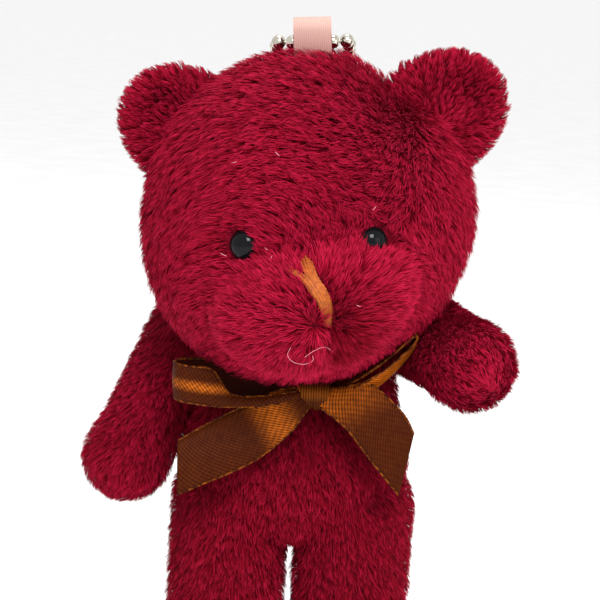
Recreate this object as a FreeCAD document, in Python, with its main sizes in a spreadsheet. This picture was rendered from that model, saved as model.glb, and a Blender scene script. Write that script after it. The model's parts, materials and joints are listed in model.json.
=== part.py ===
"""Plush bear keychain: a stuffed, jointed bear with a satin bow, a ribbon loop and a ball chain.

Millimetres, +Z up, the bear looks along -Y and its own left is +X. The origin lies on the plane
of the soles, midway across the whole toy. Every driving size is a cell of the sheet "Sizes", and
every formula below is written with the names of those cells.
"""
import FreeCAD, Part
import math
import os
import re
import Sketcher
from FreeCAD import Placement, Rotation, Vector

SIZES = [
    # name, value, what it is
    ("wall", 1.2, "plush cloth: backing plus flattened pile"),
    ("fill_gap", 0.2, "between the cloth and the stuffing"),
    ("soft_gap", 0.35, "between soft parts that move on each other"),
    ("seat_gap", 0.15, "between soft parts that are sewn together"),
    ("head_x", 0.0, "middle of the head, across"),
    ("head_forward", 5.0, "middle of the head, ahead of the neck"),
    ("head_sink", 1.6, "bottom of the head, below the middle of the neck ball"),
    ("head_tilt", 4.5, "lean of the head towards its right shoulder, degrees"),
    ("head_radius", 25.9, "half width and half height of the head"),
    ("head_depth", 23.2, "half depth of the head"),
    ("muzzle_x", 0.7, "muzzle, off the middle of the face"),
    ("muzzle_sink", 6.2, "middle of the muzzle, behind the front of the head"),
    ("muzzle_top", 1.0, "top of the muzzle, below the head's middle"),
    ("muzzle_half_width", 14.7, "muzzle"),
    ("muzzle_half_depth", 13.0, "muzzle"),
    ("muzzle_half_height", 12.0, "muzzle"),
    ("nose_drop", 4.0, "top of the nose stitches, below the head's middle"),
    ("nose_width", 3.4, "spread of the two upper stitches"),
    ("nose_height", 4.2, "upper stitches"),
    ("nose_stem", 6.0, "stitch down the crease"),
    ("thread_width", 1.1, "laid embroidery thread"),
    ("thread_rise", 0.5, "thread above the cloth"),
    ("eye_angle", 26.0, "eye to the side of the face's middle, degrees"),
    ("eye_drop", 3.5, "eye below the horizon of the head, degrees"),
    ("eye_radius", 2.5, "glossy dome of an eye"),
    ("eye_rise", 2.0, "height of the dome"),
    ("shank_radius", 0.8, "eye shank"),
    ("shank_length", 4.6, "eye shank"),
    ("washer_radius", 2.8, "washer that locks an eye"),
    ("washer_thickness", 0.8, "washer that locks an eye"),
    ("washer_fit", 0.03, "washer hole around the shank"),
    ("washer_gap", 0.6, "washer behind the cloth of the face"),
    ("ear_angle", 53.5, "ear from the top of the head, degrees"),
    ("ear_half_width", 9.75, "ear along its seam"),
    ("ear_height", 11.7, "ear above its seam"),
    ("ear_half_depth", 2.9, "ear thickness, halved"),
    ("dish_radius", 9.0, "hollow in the front of an ear"),
    ("dish_floor", 0.4, "hollow's deepest point, ahead of the ear's middle"),
    ("neck_y", 6.0, "neck, fore and aft"),
    ("neck_rise", 26.0, "middle of the neck ball, above the hip crease"),
    ("neck_radius", 7.0, "neck ball"),
    ("stem_radius", 6.4, "neck below the ball"),
    ("collar_room", 0.8, "recess in the torso, outside the ribbon round the neck"),
    ("collar_gap", 0.3, "bottom of that recess, below the neck ball"),
    ("tie_gap", 0.6, "ribbon round the neck, outside the neck ball"),
    ("tie_thickness", 0.5, "crumpled ribbon round the neck"),
    ("tie_height", 4.0, "crumpled ribbon round the neck"),
    ("stitch_radius", 0.3, "gathering thread of the neck"),
    ("knot_x", 2.6, "bow knot, off the middle"),
    ("knot_out", 3.4, "middle of the knot, ahead of the ribbon round the neck"),
    ("knot_drop", 4.3, "middle of the knot, below the middle of the neck ball"),
    ("knot_half_width", 2.7, "bow knot"),
    ("knot_half_depth", 2.3, "bow knot"),
    ("knot_half_height", 2.05, "bow knot"),
    ("ribbon_thickness", 0.3, "satin ribbon of the bow"),
    ("loop_band", 6.5, "height of a bow loop"),
    ("loop_round", 2.2, "rounding at the end of a bow loop"),
    ("loop_pinch", 0.5, "half opening of a bow loop at the knot"),
    ("bow_gap", 0.3, "between the knot and what comes out of it"),
    ("loop_right_length", 18.5, "bow loop on the bear's right"),
    ("loop_right_rise", 4.0, "its slope, degrees"),
    ("loop_left_length", 17.0, "bow loop on the bear's left"),
    ("loop_left_rise", 36.0, "its slope, degrees"),
    ("loop_left_turn", 15.0, "its turn to the front, degrees"),
    ("loop_left_band", 7.0, "its height, which lies fore and aft"),
    ("loop_left_out", 3.0, "its root, ahead of the knot's middle"),
    ("tail_out", 1.6, "bow tails, ahead of the knot's middle"),
    ("tail_root", 4.6, "width of a tail at the knot"),
    ("tail_flare", 6.0, "length over which a tail opens out"),
    ("tail_slant", 3.4, "slant of a cut end"),
    ("tail_right_length", 21.5, "tail on the bear's right"),
    ("tail_right_width", 7.0, "its width as it lies"),
    ("tail_right_drop", 33.0, "its slope, degrees"),
    ("tail_left_length", 17.5, "tail on the bear's left"),
    ("tail_left_width", 9.0, "its width as it lies"),
    ("tail_left_drop", 46.0, "its slope, degrees"),
    ("body_y", 7.0, "middle of the torso, fore and aft"),
    ("leg_z", 42.0, "hip crease, height"),
    ("crotch_rise", -4.0, "bottom of the torso, above the hip crease"),
    ("crotch_half_width", 13.0, "torso there"),
    ("crotch_half_depth", 7.5, "torso there"),
    ("hip_rise", 3.0, "widest part of the torso, above the hip crease"),
    ("hip_half_width", 19.2, "torso there"),
    ("hip_half_depth", 12.2, "torso there"),
    ("belly_rise", 13.0, "belly, above the hip crease"),
    ("belly_half_width", 17.2, "torso there"),
    ("belly_half_depth", 12.3, "torso there"),
    ("chest_rise", 20.0, "chest, above the hip crease"),
    ("chest_half_width", 16.4, "torso there"),
    ("chest_half_depth", 9.6, "torso there"),
    ("chest_back", 1.2, "chest, behind the torso's middle"),
    ("shoulder_rise", 26.0, "shoulders, above the hip crease"),
    ("shoulder_half_width", 15.6, "torso there"),
    ("shoulder_half_depth", 8.0, "torso there"),
    ("shoulder_back", 3.2, "shoulders, behind the torso's middle"),
    ("nape_rise", 30.5, "top of the torso behind the head, above the hip crease"),
    ("nape_half_width", 11.0, "torso there"),
    ("nape_half_depth", 4.6, "torso there"),
    ("nape_back", 5.0, "nape, behind the torso's middle"),
    ("arm_out", 3.9, "shoulder seam, outside the torso's shoulder"),
    ("arm_back", 6.5, "shoulder seam, behind the torso's middle"),
    ("arm_rise", 28.0, "shoulder seam, above the hip crease"),
    ("arm_root", 5.0, "rounded root of an arm"),
    ("paw_radius", 6.2, "paw"),
    ("arm_length", 24.0, "shoulder seam to the middle of the paw"),
    ("arm_spread", 25.0, "arm out from the side, degrees"),
    ("arm_left_forward", 83.0, "left arm held forward, degrees"),
    ("arm_right_forward", 16.0, "right arm held forward, degrees"),
    ("leg_gap", 1.4, "half of the gap between the legs"),
    ("leg_radius", 9.1, "leg"),
    ("leg_swing_forward", 45.0, "leg bends forward, degrees"),
    ("leg_swing_back", 15.0, "leg bends back, degrees"),
    ("foot_z", 4.8, "middle of the foot"),
    ("foot_forward", 4.2, "foot ahead of the leg"),
    ("foot_half_width", 9.3, "foot"),
    ("foot_half_depth", 11.2, "foot"),
    ("foot_half_height", 7.5, "foot"),
    ("nod_limit", 10.0, "head tips back, degrees"),
    ("head_room", 1.2, "between the head and the torso, for a head that turns"),
    ("reach", 40.0, "length of a cutting tool that goes right through"),
    ("hang_x", 1.2, "ribbon loop on the crown, off the head's middle"),
    ("hang_width", 6.2, "ribbon loop"),
    ("hang_height", 7.0, "ribbon loop above the crown"),
    ("hang_half_gap", 1.7, "half of the space in the loop"),
    ("hang_thickness", 0.35, "ribbon of the loop"),
    ("bead_radius", 1.2, "chain bead"),
    ("bead_wall", 0.2, "chain bead"),
    ("bead_pitch", 3.3, "bead to bead"),
    ("bead_hole", 0.34, "hole of a bead, radius"),
    ("rod_radius", 0.2, "link rod"),
    ("rod_head", 0.42, "head of a link rod"),
    ("rod_inset", 0.5, "link head from the middle of its bead"),
    ("chain_clear", 2.9, "middle of the chain above the head's cloth"),
    ("chain_half_span", 6.0, "half the distance between the two strands"),
    ("chain_corner", 4.5, "bend of the chain beside the loop and at the clasp"),
    ("chain_beads", 18, "beads from the middle one to the clasp"),
    ("chain_top_beads", 5, "of those, beads on the crown"),
    ("chain_mid_beads", 11, "of those, beads down to the second bend"),
    ("clasp_bead_x", 1.9, "end bead from the middle of the clasp"),
    ("clasp_fit", 0.15, "room around the end beads in the clasp sleeve"),
    ("clasp_wall", 0.25, "clasp sleeve"),
    ("clasp_mouth", 1.1, "hole in each end of the clasp, radius"),
]

# %% the document and its sheet
doc = FreeCAD.newDocument("PlushKeychain")
sheet = doc.addObject("Spreadsheet::Sheet", "Sizes")
for row, (alias, value, note) in enumerate(SIZES, start=1):
    sheet.set(f"A{row}", note)
    sheet.set(f"B{row}", str(value))
    sheet.setAlias(f"B{row}", alias)
doc.recompute()
ALIASES = {alias for alias, _, _ in SIZES}
DERIVED = {
    "leg_x": "(max(leg_radius; foot_half_width) + leg_gap)",
    "neck_z": "(leg_z + neck_rise)",
    "tie_radius": "(neck_radius + tie_gap)",
    "collar_radius": "(neck_radius + tie_gap + tie_thickness + collar_room)",
    "collar_floor": "(leg_z + neck_rise - neck_radius - collar_gap)",
    "head_y": "(neck_y - head_forward)",
    "head_z": "(leg_z + neck_rise + head_radius - head_sink)",
    "muzzle_forward": "(head_depth - muzzle_sink)",
    "muzzle_drop": "(muzzle_half_height + muzzle_top)",
    "knot_y": "(neck_y - neck_radius - tie_gap - knot_out)",
    "knot_z": "(leg_z + neck_rise - knot_drop)",
    "arm_x": "(shoulder_half_width + arm_out)",
    "arm_y": "(body_y + arm_back)",
    "arm_z": "(leg_z + arm_rise)",
}
SUB_PARTS = []
CENTRE = 3            # number of an arc's centre in a sketch
SAME_POINT = 1e-6
HALVINGS = 40
ARC_STEPS = 60


def cells(formula):
    """A formula in plain names, as an expression that reads the sheet."""
    text = re.sub(r"[a-z][a-z_]*", lambda m: DERIVED.get(m[0], m[0]), str(formula))
    return re.sub(r"[a-z][a-z_]*", lambda m: "Sizes." + m[0] if m[0] in ALIASES else m[0], text)


def size(alias):
    """The present value of one cell."""
    return float(sheet.get(alias))


def bind(thing, **formulas):
    """Bind properties of an object to formulas."""
    for name, formula in formulas.items():
        thing.setExpression(name, cells(formula))
    return thing


def frame(across=0, fore=0, height=0, turn="rotationz(0)"):
    """A placement, as a formula."""
    return f"placement(vector({across}; {fore}; {height}); {turn})"


def sub_part(thing, name):
    """Give an object the name under which it is written."""
    thing.Label = name
    SUB_PARTS.append(thing)
    return thing


# %% solids
def ellipsoid(name, half_x, half_y, half_z, where):
    thing = doc.addObject("Part::Ellipsoid", name)
    return bind(thing, Radius1=half_z, Radius2=half_x, Radius3=half_y, Placement=where)


def ball(name, radius, where):
    return bind(doc.addObject("Part::Sphere", name), Radius=radius, Placement=where)


def rod(name, radius, length, where):
    return bind(doc.addObject("Part::Cylinder", name), Radius=radius, Height=length, Placement=where)


def block(name, length, width, height, where):
    thing = doc.addObject("Part::Box", name)
    return bind(thing, Length=length, Width=width, Height=height, Placement=where)


def fuse(name, *shapes):
    thing = doc.addObject("Part::MultiFuse", name)
    thing.Shapes = list(shapes)
    return thing


def cut(name, base, *tools):
    thing = doc.addObject("Part::Cut", name)
    thing.Base = base
    thing.Tool = tools[0] if len(tools) == 1 else fuse(name + "_tools", *tools)
    return thing


def sketch_outline(body, plane, corners, arcs):
    """A closed sketch through corners, which are pairs of formulas.

    arcs gives, for a side that is round, a point on it and one coordinate of its centre.
    """
    sketch = body.newObject("Sketcher::SketchObject", body.Name + "_outline")
    sketch.AttachmentSupport = [(next(f for f in body.Origin.OriginFeatures if f.Role == plane), "")]
    sketch.MapMode = "FlatFace"
    doc.recompute()
    points = [Vector(*(value_of(c) for c in corner), 0) for corner in corners]
    for side, start in enumerate(points):
        end = points[(side + 1) % len(points)]
        if side in arcs:
            middle = Vector(*(value_of(c) for c in arcs[side][0]), 0)
            sketch.addGeometry(Part.Arc(start, middle, end), False)
        else:
            sketch.addGeometry(Part.LineSegment(start, end), False)
    for side, corner in enumerate(corners):
        before = (side - 1) % len(corners)
        first = start_point(sketch, side, points[side])
        last = 3 - start_point(sketch, before, points[before])
        sketch.addConstraint(Sketcher.Constraint("Coincident", before, last, side, first))
        for kind, formula in zip(("DistanceX", "DistanceY"), corner):
            number = sketch.addConstraint(Sketcher.Constraint(kind, side, first, value_of(formula)))
            sketch.setExpression(f"Constraints[{number}]", cells(formula))
    for side, (_, kind, centre) in arcs.items():
        number = sketch.addConstraint(Sketcher.Constraint(kind, side, CENTRE, value_of(centre)))
        sketch.setExpression(f"Constraints[{number}]", cells(centre))
    return sketch


def start_point(sketch, side, corner):
    """1 or 2: which end of a side lies at the corner where the side begins."""
    return 1 if sketch.getPoint(side, 1).distanceToPoint(corner) < SAME_POINT else 2


def value_of(formula):
    """The present value of a formula."""
    return float(sheet.evalExpression(cells(formula)))


def turned(name, corners, arcs, where):
    """A body turned about Z from an outline in the XZ plane."""
    body = doc.addObject("PartDesign::Body", name)
    sketch = sketch_outline(body, "XZ_Plane", corners, arcs)
    feature = body.newObject("PartDesign::Revolution", name + "_turn")
    feature.Profile = sketch
    feature.ReferenceAxis = (sketch, ["V_Axis"])
    feature.Angle = 360
    return bind(body, Placement=where)


def padded_out(name, plane, corners, arcs, length, where):
    """A body padded both ways from an outline."""
    body = doc.addObject("PartDesign::Body", name)
    sketch = sketch_outline(body, plane, corners, arcs)
    feature = body.newObject("PartDesign::Pad", name + "_pad")
    feature.Profile = sketch
    feature.Midplane = True
    bind(feature, Length=length)
    return bind(body, Placement=where)


# %% frames that several pieces share
HEAD = frame("head_x", "head_y", "head_z", "rotationy(-head_tilt)")
NECK = frame(0, "neck_y", "neck_z")
SIDES = {"left": 1, "right": -1}


def limb_frame(side):
    """Shoulder of one arm, with the arm along -Z."""
    sign = SIDES[side]
    turn = f"rotationx(-arm_{side}_forward) * rotationy({-sign} * arm_spread)"
    return frame(f"{sign} * arm_x", "arm_y", "arm_z", turn)


def hip_frame(side, swing="0"):
    """Hip crease of one leg, swung forward by so many degrees, with the leg along -Z."""
    return frame(f"{SIDES[side]} * leg_x", "body_y", "leg_z", f"rotationx(-({swing}))")


def skin_and_stuffing(name, form):
    """Cloth and filling of a stuffed piece, whose form takes a tag and an inset."""
    skin = cut(name + "_skin", form(name + "_outside", "0"), form(name + "_inside", "wall"))
    sub_part(skin, name + "_skin")
    sub_part(form(name + "_filling", "(wall + fill_gap)"), name + "_stuffing")


# %% head
def head_form(tag, inset):
    """The head's ball, hollowed for the neck."""
    outside = ellipsoid(tag + "_ball", f"head_radius - {inset}", f"head_depth - {inset}",
                        f"head_radius - {inset}", HEAD)
    socket = ball(tag + "_socket", f"neck_radius + soft_gap + {inset}", NECK)
    return cut(tag, outside, socket)


def eye_frame(side, distance):
    """Looks out of the face along Z, at a distance from the head's middle."""
    turn = f"rotationz({SIDES[side]} * eye_angle) * rotationx(90 + eye_drop)"
    return f"{HEAD} * {frame(turn=turn)} * {frame(height=distance)}"


EYE_SEAT = ("(head_radius * head_depth / sqrt((head_radius * cos(eye_angle))^2"
            " + (head_depth * sin(eye_angle))^2) + seat_gap)")

shank_holes = [rod(f"shank_hole_{side}", "shank_radius + washer_fit", "reach",
                   eye_frame(side, f"{EYE_SEAT} - shank_length")) for side in SIDES]
head_shell = cut("head_shell", head_form("head_outside", "0"), head_form("head_inside", "wall"))
sub_part(cut("head_skin", head_shell, *shank_holes), "head_skin")
washer_rooms = [rod(f"washer_room_{side}", "washer_radius + fill_gap", "shank_length + fill_gap",
                    eye_frame(side, f"{EYE_SEAT} - shank_length - fill_gap")) for side in SIDES]
sub_part(cut("head_stuffing", head_form("head_filling", "(wall + fill_gap)"), *washer_rooms), "head_stuffing")

for side in SIDES:
    corners = [(0, "eye_rise"), (0, "-shank_length"), ("shank_radius", "-shank_length"),
               ("shank_radius", 0), ("eye_radius", 0)]
    dome = "((eye_radius^2 + eye_rise^2) / (2 * eye_rise))"
    half_angle = f"(acos(1 - eye_rise / {dome}) / 2)"
    halfway = (f"{dome} * sin({half_angle})", f"eye_rise - {dome} * (1 - cos({half_angle}))")
    dome_arc = {4: (halfway, "DistanceY", f"eye_rise - {dome}")}
    eye = turned("eye_" + side, corners, dome_arc, eye_frame(side, EYE_SEAT))
    sub_part(eye, "eye_" + side)
    washer_back = f"{EYE_SEAT} - seat_gap - wall - washer_gap - washer_thickness"
    disc = rod(f"washer_disc_{side}", "washer_radius", "washer_thickness", eye_frame(side, washer_back))
    hole = rod(f"washer_hole_{side}", "shank_radius + washer_fit", "reach",
               eye_frame(side, f"{washer_back} - washer_gap"))
    sub_part(cut("eye_washer_" + side, disc, hole), "eye_washer_" + side)

# %% muzzle and nose
MUZZLE = f"{HEAD} * {frame('muzzle_x', '-muzzle_forward', '-muzzle_drop')}"


def muzzle_ball(tag, grow):
    return ellipsoid(tag, f"muzzle_half_width + {grow}", f"muzzle_half_depth + {grow}",
                     f"muzzle_half_height + {grow}", MUZZLE)


def head_ball(tag, grow, where=HEAD):
    return ellipsoid(tag, f"head_radius + {grow}", f"head_depth + {grow}", f"head_radius + {grow}", where)


sub_part(cut("muzzle_skin", muzzle_ball("muzzle_outside", "0"),
             muzzle_ball("muzzle_inside", "(-wall)"), head_ball("muzzle_seat", "seat_gap")), "muzzle_skin")
sub_part(cut("muzzle_stuffing", muzzle_ball("muzzle_filling", "(-wall - fill_gap)"),
             head_ball("filling_seat", "(seat_gap + fill_gap)")), "muzzle_stuffing")

nose_layer = cut("nose_layer", muzzle_ball("nose_top", "(seat_gap + thread_rise)"),
                 muzzle_ball("nose_bottom", "seat_gap"))
nose_middle = frame("muzzle_x + thread_width", "-muzzle_forward - reach", "-nose_drop - nose_height")
nose_foot = f"{HEAD} * {nose_middle}"
stem = block("nose_stem_block", "thread_width", "reach", "nose_stem + thread_width",
             f"{nose_foot} * {frame('-thread_width / 2', 0, '-nose_stem')}")
prong_lean = "atan(nose_width / (2 * nose_height))"
prongs = []
for side, sign in SIDES.items():
    leaning = frame(turn=f"rotationy({sign} * {prong_lean})")
    prongs.append(block(f"nose_prong_{side}", "thread_width", "reach", f"nose_height / cos({prong_lean})",
                        f"{nose_foot} * {leaning} * {frame('-thread_width / 2')}"))
nose = doc.addObject("Part::Common", "nose_stitches")
nose.Base = nose_layer
nose.Tool = fuse("nose_outline", stem, *prongs)
sub_part(nose, "nose_stitches")

# %% ears
for side, sign in SIDES.items():
    ear_frame = f"{HEAD} * {frame(turn=f'rotationy({sign} * ear_angle)')} * {frame(height='head_radius')}"
    flap = ellipsoid(f"ear_flap_{side}", "ear_half_width", "ear_half_depth", "ear_height", ear_frame)
    dish = ball(f"ear_dish_{side}", "dish_radius",
                f"{ear_frame} * {frame(0, '-dish_radius - dish_floor', 'ear_height / 2')}")
    seat = head_ball(f"ear_seat_{side}", "seat_gap")
    sub_part(cut("ear_" + side, flap, dish, seat), "ear_" + side)

# %% neck, and the bow that is tied round it
neck_stem = rod("neck_stem", "stem_radius", "neck_z - collar_floor - soft_gap",
                frame(0, "neck_y", "collar_floor + soft_gap"))
sub_part(fuse("neck_plug", ball("neck_ball", "neck_radius", NECK), neck_stem), "neck_plug")
thread = doc.addObject("Part::Torus", "neck_thread")
bind(thread, Radius1="stem_radius + stitch_radius + seat_gap / 2", Radius2="stitch_radius",
     Placement=frame(0, "neck_y", "collar_floor + 2 * soft_gap + stitch_radius"))
sub_part(thread, "neck_thread")
tie_foot = frame(0, "neck_y", "collar_floor + 1.5 * soft_gap")
sub_part(cut("neck_ribbon", rod("tie_outside", "tie_radius + tie_thickness", "tie_height", tie_foot),
             rod("tie_inside", "tie_radius", "tie_height", tie_foot)), "neck_ribbon")
knot = ellipsoid("bow_knot", "knot_half_width", "knot_half_depth", "knot_half_height",
                 frame("knot_x", "knot_y", "knot_z"))
sub_part(knot, "bow_knot")


def bow_loop(side, band, where):
    """A loop of ribbon along X, pinched where it leaves the knot."""
    length, inner = f"loop_{side}_length", "(loop_round - ribbon_thickness)"
    corners = [(0, "loop_pinch + ribbon_thickness"), (0, "loop_pinch"),
               (f"{length} - loop_round", inner), (f"{length} - loop_round", f"-{inner}"),
               (0, "-loop_pinch"), (0, "-loop_pinch - ribbon_thickness"),
               (f"{length} - loop_round", "-loop_round"), (f"{length} - loop_round", "loop_round")]
    arcs = {2: ((f"{length} - ribbon_thickness", 0), "DistanceX", f"{length} - loop_round"),
            6: ((length, 0), "DistanceX", f"{length} - loop_round")}
    sub_part(padded_out("bow_loop_" + side, "XY_Plane", corners, arcs, band, where), "bow_loop_" + side)


bow_loop("right", "loop_band", frame(
    "knot_x - knot_half_width - bow_gap", "knot_y", "knot_z", "rotationy(loop_right_rise) * rotationz(180)"))
bow_loop("left", "loop_left_band", frame(
    "knot_x + knot_half_width + bow_gap", "knot_y - loop_left_out", "knot_z",
    "rotationz(-loop_left_turn) * rotationy(-loop_left_rise) * rotationx(90)"))

for side, sign in SIDES.items():
    half, root = f"tail_{side}_width / 2", "tail_root / 2"
    length = f"tail_{side}_length"
    corners = [(0, root), (0, f"-{root}"), ("tail_flare", f"-{half}"),
               (f"{length} + tail_slant / 2", f"-{half}"), (f"{length} - tail_slant / 2", half),
               ("tail_flare", half)]
    turn = f"rotationz({0 if sign > 0 else 180}) * rotationy(tail_{side}_drop)"
    start = f"{frame('knot_x', 'knot_y - tail_out', 'knot_z', turn)} * {frame('knot_half_width + bow_gap')}"
    tail = padded_out("bow_tail_" + side, "XZ_Plane", corners, {}, "ribbon_thickness", start)
    sub_part(tail, "bow_tail_" + side)

# %% torso
SECTIONS = [("crotch", "0"), ("hip", "0"), ("belly", "0"), ("chest", "chest_back"),
            ("shoulder", "shoulder_back"), ("nape", "nape_back")]


def torso_form(tag, inset):
    """The torso's lofted ovals, cleared for the head, the neck and the roots of the limbs."""
    ovals = []
    for place, back in SECTIONS:
        oval = doc.addObject("Part::Ellipse", f"{tag}_{place}")
        end = {"crotch": f" + {inset}", "nape": f" - {inset}"}.get(place, "")
        bind(oval, MajorRadius=f"{place}_half_width - {inset}", MinorRadius=f"{place}_half_depth - {inset}",
             Placement=frame(0, f"body_y + {back}", f"leg_z + {place}_rise{end}"))
        ovals.append(oval)
    loft = doc.addObject("Part::Loft", tag + "_loft")
    loft.Sections = ovals
    loft.Solid = True
    room = f"soft_gap + {inset}"
    tools = [rod(tag + "_collar", f"collar_radius + {inset}", "reach",
                 frame(0, "neck_y", f"collar_floor - {inset}"))]
    tipped = f"{NECK} * {frame(turn='rotationx(-nod_limit)')} * {frame(0, '-neck_y', '-neck_z')} * {HEAD}"
    for pose, where in (("level", HEAD), ("tipped", tipped)):
        tools.append(head_ball(f"{tag}_head_{pose}", f"(head_room + {inset})", where))
    for side in SIDES:
        tools.append(ball(f"{tag}_shoulder_{side}", f"arm_root + {room}", limb_frame(side)))
        tools.append(ball(f"{tag}_hip_{side}", f"leg_radius + {room}", hip_frame(side)))
        for pose, swing in (("straight", "0"), ("forward", "leg_swing_forward"), ("back", "-leg_swing_back")):
            tools.append(rod(f"{tag}_leg_{side}_{pose}", f"leg_radius + {room}", "leg_z",
                             f"{hip_frame(side, swing)} * {frame(turn='rotationx(180)')}"))
    return cut(tag, loft, *tools)


skin_and_stuffing("torso", torso_form)

# %% arms: a rounded root and a fuller paw, joined by the cone that touches both
for side in SIDES:
    def arm_form(tag, inset, side=side):
        lean = "asin((paw_radius - arm_root) / arm_length)"
        root = ball(tag + "_root", f"arm_root - {inset}", limb_frame(side))
        paw = ball(tag + "_paw", f"paw_radius - {inset}",
                   f"{limb_frame(side)} * {frame(height='-arm_length')}")
        sleeve = doc.addObject("Part::Cone", tag + "_sleeve")
        start = f"((arm_root - {inset}) * sin({lean}))"
        end = f"((paw_radius - {inset}) * sin({lean}))"
        along = f"{limb_frame(side)} * {frame(turn='rotationx(180)')}"
        bind(sleeve, Radius1=f"(arm_root - {inset}) * cos({lean})",
             Radius2=f"(paw_radius - {inset}) * cos({lean})",
             Height=f"arm_length + {start} - {end}", Placement=f"{along} * {frame(height=f'-{start}')}")
        return fuse(tag, root, sleeve, paw)

    skin_and_stuffing(f"arm_{side}", arm_form)

# %% legs: a round leg and a foot with a flat sole
for side in SIDES:
    def leg_form(tag, inset, side=side):
        hip = ball(tag + "_hip", f"leg_radius - {inset}", hip_frame(side))
        across = f"{SIDES[side]} * leg_x"
        shin = rod(tag + "_shin", f"leg_radius - {inset}", "leg_z - foot_z",
                   frame(across, "body_y", "foot_z"))
        foot = ellipsoid(tag + "_foot", f"foot_half_width - {inset}", f"foot_half_depth - {inset}",
                         f"foot_half_height - {inset}", frame(across, "body_y - foot_forward", "foot_z"))
        below = frame("-reach", "-reach", f"{inset} - reach")
        floor = block(tag + "_floor", "reach * 2", "reach * 2", "reach", below)
        return cut(tag, fuse(tag + "_whole", hip, shin, foot), floor)

    skin_and_stuffing(f"leg_{side}", leg_form)

# %% ribbon loop on the crown
CROWN = f"{HEAD} * {frame('hang_x')}"
hang_outer = "(hang_half_gap + hang_thickness)"
hang_foot = "(head_radius + soft_gap)"
hang_bend = f"(head_radius + hang_height - {hang_outer})"
corners = [(f"-{hang_outer}", hang_foot), ("-hang_half_gap", hang_foot), ("-hang_half_gap", hang_bend),
           ("hang_half_gap", hang_bend), ("hang_half_gap", hang_foot), (hang_outer, hang_foot),
           (hang_outer, hang_bend), (f"-{hang_outer}", hang_bend)]
arcs = {2: ((0, f"{hang_bend} + hang_half_gap"), "DistanceY", hang_bend),
        6: ((0, f"{hang_bend} + {hang_outer}"), "DistanceY", hang_bend)}
sub_part(padded_out("hang_loop", "YZ_Plane", corners, arcs, "hang_width", CROWN), "hang_loop")


# %% ball chain: hollow beads and headed rods, over the crown and down behind the head
def chain_route(drop):
    """Points along half of the chain, from the middle of the ribbon loop to the middle of the clasp."""
    rise = size("head_radius") + size("chain_clear")
    back = size("head_depth") + size("chain_clear")
    corner, span = size("chain_corner"), size("chain_half_span")
    route = [Vector(0, 0, rise), Vector(span - corner, 0, rise)]
    for step in range(1, ARC_STEPS + 1):
        angle = math.pi / 2 * step / ARC_STEPS
        route.append(Vector(span - corner + corner * math.sin(angle), corner * (1 - math.cos(angle)), rise))
    first = math.asin(corner / back)
    for step in range(1, ARC_STEPS + 1):
        angle = first + (math.pi / 2 - first) * step / ARC_STEPS
        route.append(Vector(span, back * math.sin(angle), rise * math.cos(angle)))
    for step in range(ARC_STEPS + 1):
        angle = math.pi / 2 * step / ARC_STEPS
        route.append(Vector(span - corner * (1 - math.cos(angle)), back, -drop - corner * math.sin(angle)))
    return route + [Vector(0, back, -drop - corner)]


def beads_along(route, count):
    """Bead middles, each one pitch from the last in a straight line."""
    pitch = size("bead_pitch")
    beads = [route[0]]
    for start, end in zip(route, route[1:]):
        while len(beads) <= count and (end - beads[-1]).Length >= pitch:
            near, far = 0.0, 1.0
            for _ in range(HALVINGS):
                middle = (near + far) / 2
                point = start + (end - start) * middle
                near, far = (middle, far) if (point - beads[-1]).Length < pitch else (near, middle)
            beads.append(start + (end - start) * far)
    return beads


def chain_beads():
    """The straight drop is as long as puts the last bead at its place in the clasp."""
    count = int(size("chain_beads"))
    short, long = 0.0, count * size("bead_pitch")
    for _ in range(HALVINGS):
        drop = (short + long) / 2
        beads = beads_along(chain_route(drop), count)
        past = len(beads) <= count or beads[count].x < size("clasp_bead_x")
        short, long = (drop, long) if past else (short, drop)
    return beads_along(chain_route(long), count)[:count + 1], long


def bead_shape(middle, neighbours):
    """A hollow bead with a hole towards each neighbour, and its poles away from the holes."""
    outer, pole = size("bead_radius"), Vector(1, 2, 1)
    shape = Part.makeSphere(outer, middle, pole).cut(Part.makeSphere(outer - size("bead_wall"), middle, pole))
    for other in neighbours:
        shape = shape.cut(Part.makeCylinder(size("bead_hole"), outer * 2, middle, other - middle))
    return shape


def link_shape(start, end):
    """A rod with a round head inside each of two beads, turned in one piece."""
    rod_radius, head = size("rod_radius"), size("rod_head")
    middle = (end - start).Length / 2 - size("rod_inset")
    meets = middle - math.sqrt(head ** 2 - rod_radius ** 2)
    tip, tail = Vector(0, 0, middle + head), Vector(0, 0, -middle - head)
    tip_foot, tail_foot = Vector(rod_radius, 0, meets), Vector(rod_radius, 0, -meets)
    outline = Part.Wire([Part.Arc(tip, Vector(head, 0, middle), tip_foot).toShape(),
                         Part.LineSegment(tip_foot, tail_foot).toShape(),
                         Part.Arc(tail_foot, Vector(head, 0, -middle), tail).toShape(),
                         Part.LineSegment(tail, tip).toShape()])
    shape = Part.Face(outline).revolve(Vector(), Vector(0, 0, 1), 360)
    shape.Placement = Placement((start + end) / 2, Rotation(Vector(0, 0, 1), end - start))
    return shape


half_chain, chain_drop = chain_beads()
other_half = [Vector(-bead.x, bead.y, bead.z) for bead in half_chain]
head_lean = Rotation(Vector(0, 1, 0), -size("head_tilt"))
head_place = Placement(Vector(size("head_x"), value_of("head_y"), value_of("head_z")), head_lean)
crown_place = head_place * Placement(Vector(size("hang_x"), 0, 0), Rotation())


def chain_part(name, shapes):
    part = doc.addObject("Part::Feature", name)
    part.Shape = Part.makeCompound(shapes)
    part.Placement = crown_place
    sub_part(part, name)


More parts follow.
